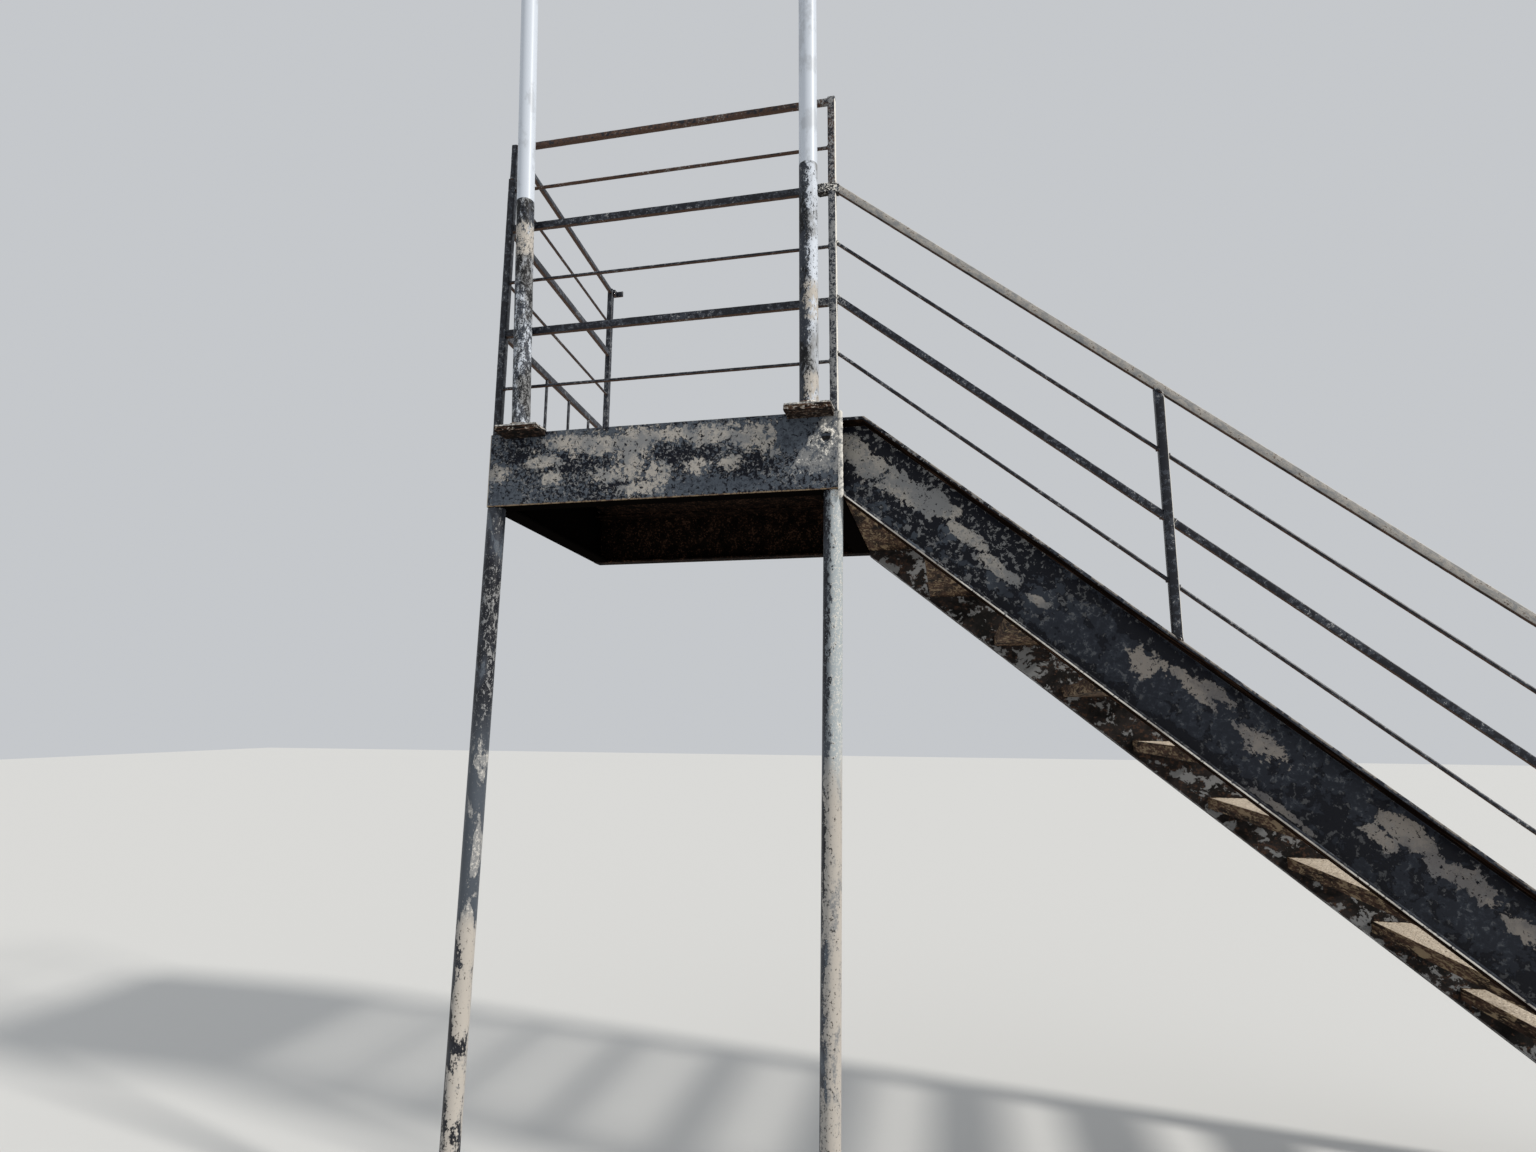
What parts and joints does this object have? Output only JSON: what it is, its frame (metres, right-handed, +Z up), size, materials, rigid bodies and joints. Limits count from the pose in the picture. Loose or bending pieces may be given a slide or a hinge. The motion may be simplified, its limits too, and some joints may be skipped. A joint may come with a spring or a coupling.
{
  "type": "fire escape stair",
  "caption": "Steel fire escape stair held at a wall: a channel-framed landing on pipe posts, a straight flight of concrete-filled pan treads, rod guards and tall canopy posts.",
  "frame": {"origin": "middle of the wall channel's back face, which lies against the wall", "axes": "+X along the wall, towards the foot of the flight; +Y into the wall; +Z up"},
  "size_m": [4.1342, 1.203, 4.672],
  "materials": {
    "channel_paint": "flaking satin paint",
    "rusty_steel": "rough rust",
    "pipe_paint": "flaking matte paint",
    "canopy_paint": "flaking matte paint",
    "rail_paint": "worn satin paint",
    "concrete": "rough, sandy concrete"
  },
  "bodies": {
    "root": {"landing_fascia": "channel_paint", "landing_left_channel": "channel_paint", "landing_right_channel": "channel_paint", "landing_wall_channel": "channel_paint", "landing_ledger_front": "rusty_steel", "landing_ledger_wall": "rusty_steel", "landing_pan": "rusty_steel", "landing_slab": "concrete", "stringer_outer": "channel_paint", "stringer_inner": "channel_paint", "foot_plate_outer": "channel_paint", "foot_plate_inner": "channel_paint", "tread_pan_01": "rusty_steel", "tread_pan_02": "rusty_steel", "tread_pan_03": "rusty_steel", "tread_pan_04": "rusty_steel", "tread_pan_05": "rusty_steel", "tread_pan_06": "rusty_steel", "tread_pan_07": "rusty_steel", "tread_pan_08": "rusty_steel", "tread_pan_09": "rusty_steel", "tread_pan_10": "rusty_steel", "tread_pan_11": "rusty_steel", "tread_fill_01": "concrete", "tread_fill_02": "concrete", "tread_fill_03": "concrete", "tread_fill_04": "concrete", "tread_fill_05": "concrete", "tread_fill_06": "concrete", "tread_fill_07": "concrete", "tread_fill_08": "concrete", "tread_fill_09": "concrete", "tread_fill_10": "concrete", "tread_fill_11": "concrete", "post_left": "pipe_paint", "post_right": "pipe_paint", "canopy_post_left": "canopy_paint", "canopy_post_right": "canopy_paint", "canopy_bracket_left": "rusty_steel", "canopy_bracket_right": "rusty_steel", "front_guard": "rail_paint", "front_guard_extension": "rail_paint", "side_guard": "rail_paint", "stair_guard": "rail_paint"}
  },
  "joints": []
}
